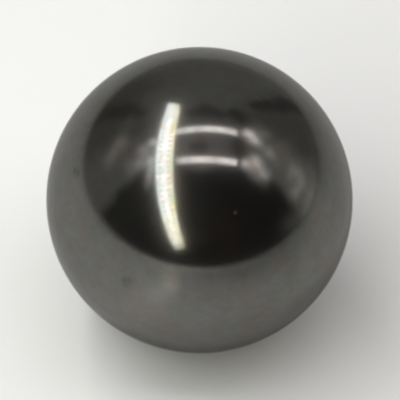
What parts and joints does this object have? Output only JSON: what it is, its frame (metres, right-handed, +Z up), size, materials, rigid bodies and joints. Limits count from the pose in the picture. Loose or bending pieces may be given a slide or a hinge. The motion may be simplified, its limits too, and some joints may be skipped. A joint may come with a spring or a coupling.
{
  "type": "steel ball",
  "caption": "Loose solid steel ball, lapped and polished to a mirror, for rolling in a bearing race, seating in a cup or closing a check valve.",
  "frame": {"origin": "centre of the ball", "axes": "+Z up; the ball is the same about every axis, and it touches the surface that it lies on at z = -radius"},
  "size_m": [0.0126, 0.0126, 0.0126],
  "materials": {
    "polished_steel": "lapped and polished to a mirror, with a faint film of handling smudges"
  },
  "bodies": {
    "root": {"ball": "polished_steel"}
  },
  "joints": []
}
